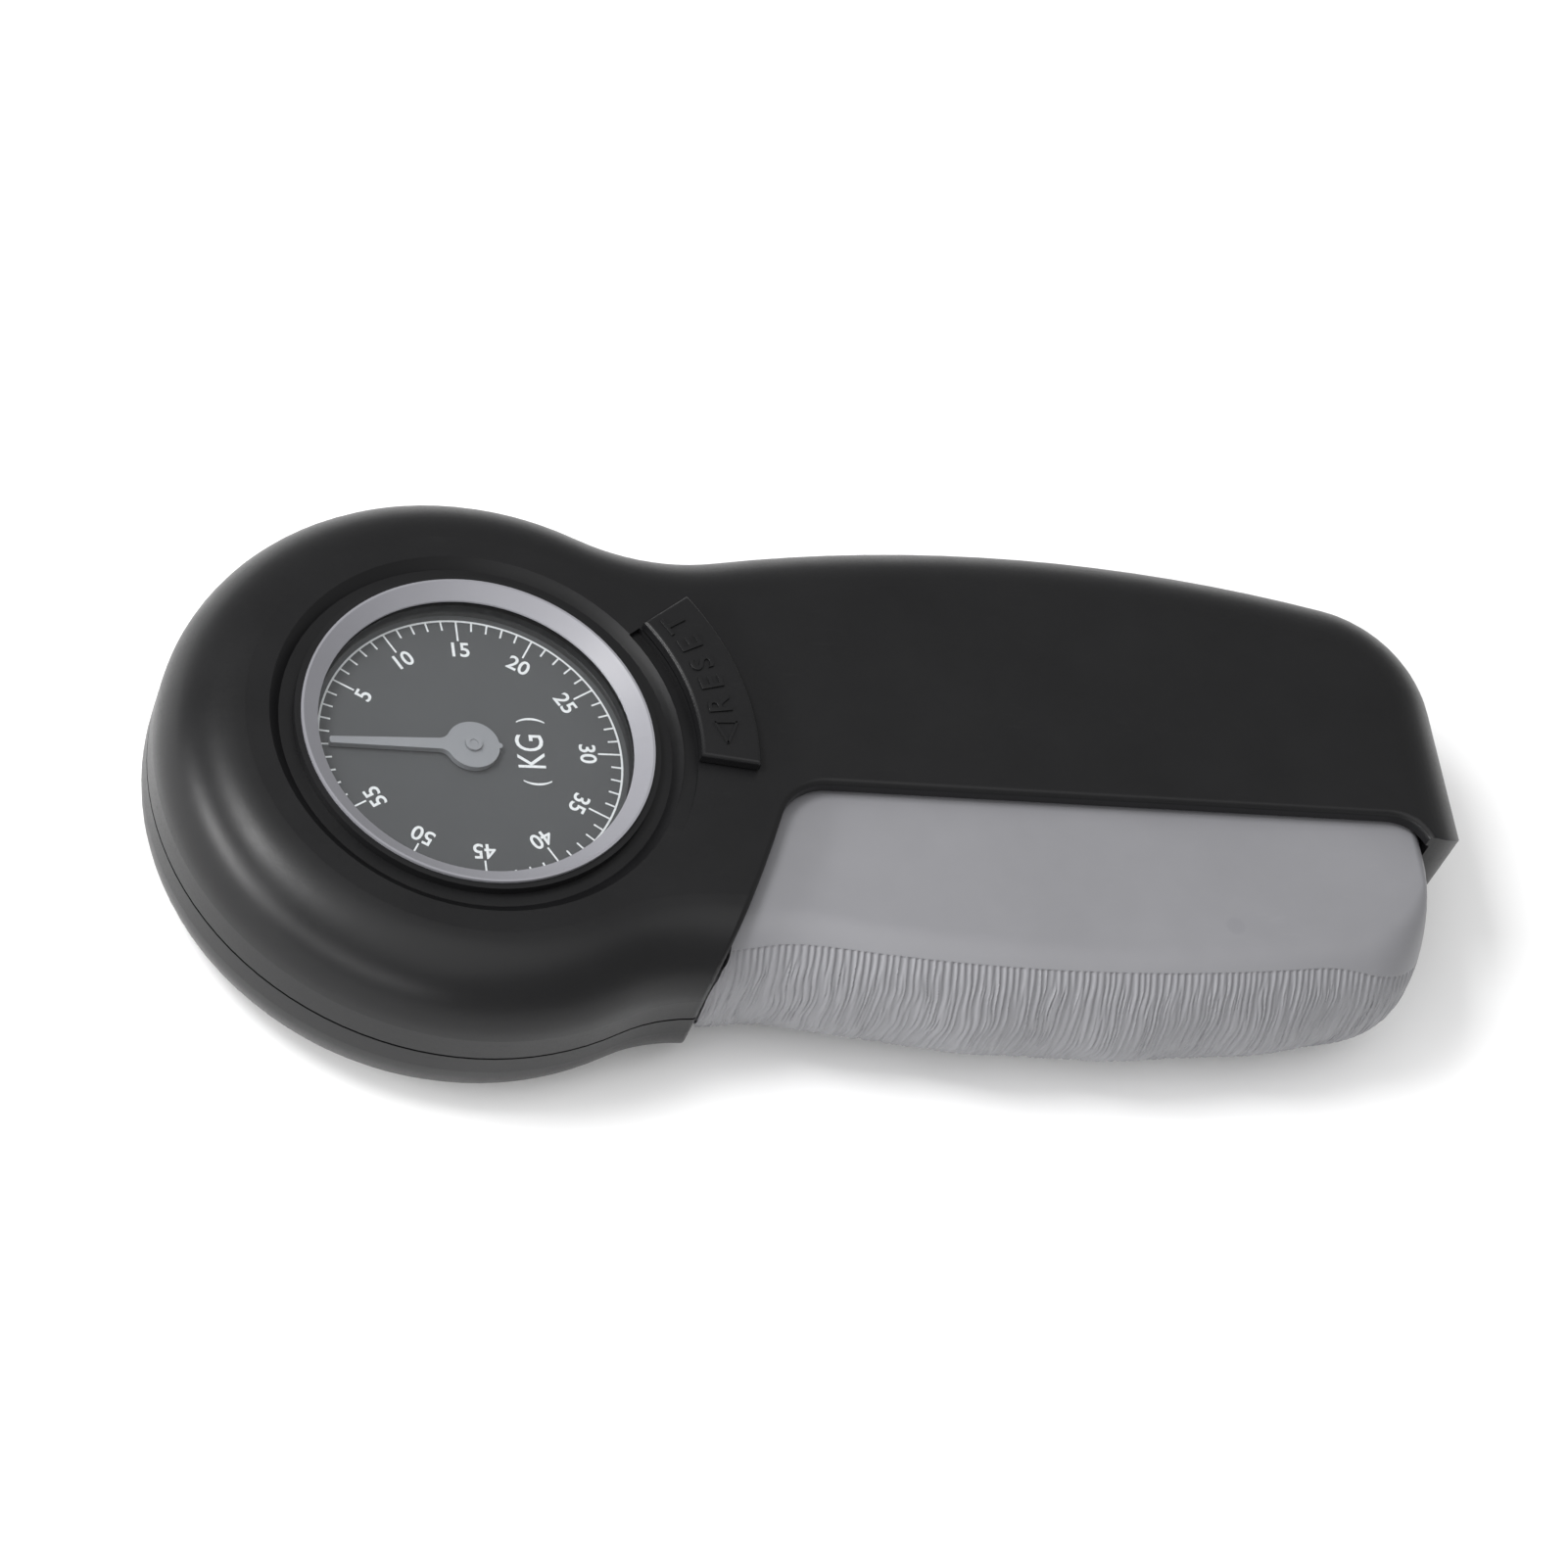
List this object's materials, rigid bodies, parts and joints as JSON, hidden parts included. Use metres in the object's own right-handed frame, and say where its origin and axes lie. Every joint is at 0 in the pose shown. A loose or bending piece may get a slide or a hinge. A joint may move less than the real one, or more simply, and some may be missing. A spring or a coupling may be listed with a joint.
{
  "type": "hand dynamometer",
  "caption": "Mechanical hand dynamometer: round dial head, black two-part case, grey sprung squeeze grip, pointer driven by rack and pinion, reset slider.",
  "frame": {"origin": "on the dial's axis, at the flat back face of the case", "axes": "+X from the dial head to the tail of the handle, +Y towards the palm side, +Z out of the dial"},
  "size_m": [0.1794, 0.0806, 0.0299],
  "materials": {
    "case_black": "fine moulded satin",
    "grip_grey": "satin, ribbed on the finger side",
    "bezel_grey": "semi-gloss",
    "lens_clear": "clear, polished",
    "dial_print": "matt print with white marks",
    "pointer_grey": "satin",
    "inner_plastic": "moulded",
    "spring_steel": "drawn wire",
    "machined_steel": "turned",
    "screw_steel": "zinc plated",
    "brass": "turned",
    "stamped_plate": "stamped",
    "brake_rubber": "matt"
  },
  "bodies": {
    "case": {"front_shell": "case_black", "rear_shell": "case_black", "case_screws": "screw_steel", "bezel": "bezel_grey", "lens": "lens_clear", "dial_plate": "dial_print", "reset_spring_post": "machined_steel", "guide_rod_head": "machined_steel", "guide_rod_tail": "machined_steel", "spring_seats": "inner_plastic", "rack_guide": "inner_plastic", "hairspring_stud": "machined_steel", "movement_plate": "stamped_plate", "movement_bridge": "stamped_plate", "movement_pillars": "machined_steel", "pillar_screws": "screw_steel", "ear_screws": "screw_steel", "upper_bush": "brass", "lower_bush": "brass", "brake_pivot": "machined_steel", "main_spring_head": "spring_steel", "main_spring_tail": "spring_steel"},
    "grip": {"squeeze_grip": "grip_grey", "carriage": "inner_plastic", "carriage_bushes": "brass", "grip_screws": "screw_steel", "rack": "machined_steel", "rack_screws": "screw_steel"},
    "pinion": {"drive_pinion": "brass"},
    "pointer_arbor": {"spindle": "machined_steel", "drag_disc": "inner_plastic", "pointer": "pointer_grey", "hairspring": "spring_steel"},
    "reset": {"reset_slider": "case_black", "reset_clip": "inner_plastic", "reset_clip_screw": "screw_steel", "reset_spring": "spring_steel"},
    "brake": {"brake_lever": "stamped_plate", "brake_shoe": "brake_rubber", "brake_spring": "spring_steel"}
  },
  "joints": [
    {"name": "grip_squeeze", "type": "slide", "parent": "case", "child": "grip", "axis": [0, 1, 0], "range_m": [0, 0.01545], "stiffness_N_per_m": 37000, "springref_m": -0.0003, "deforming": ["main_spring_head", "main_spring_tail"]},
    {"name": "pinion_turn", "type": "hinge", "parent": "case", "child": "pinion", "pos_m": [0, 0, 0.01], "axis": [0, 0, 1], "range_deg": [-360, 0]},
    {"name": "pointer_turn", "type": "hinge", "parent": "case", "child": "pointer_arbor", "pos_m": [0, 0, 0.0242], "axis": [0, 0, 1], "range_deg": [-360, 0], "deforming": ["hairspring"]},
    {"name": "reset_slide", "type": "hinge", "parent": "case", "child": "reset", "pos_m": [0, 0, 0.0284], "axis": [0, 0, 1], "range_deg": [-12, 0], "stiffness_Nm_per_rad": 0.12, "springref_deg": 2.86, "deforming": ["reset_spring"]},
    {"name": "brake_lift", "type": "hinge", "parent": "case", "child": "brake", "pos_m": [0.02, 0.004, 0.0138], "axis": [0, 0, 1], "range_deg": [-8.5, 0], "deforming": ["brake_spring"]}
  ],
  "couplings": [
    {"joint": "pinion_turn", "follows": "grip_squeeze", "rad_per_m": -400},
    {"joint": "pointer_turn", "follows": "grip_squeeze", "rad_per_m": -400},
    {"joint": "brake_lift", "follows": "reset_slide", "ratio": 0.7}
  ]
}
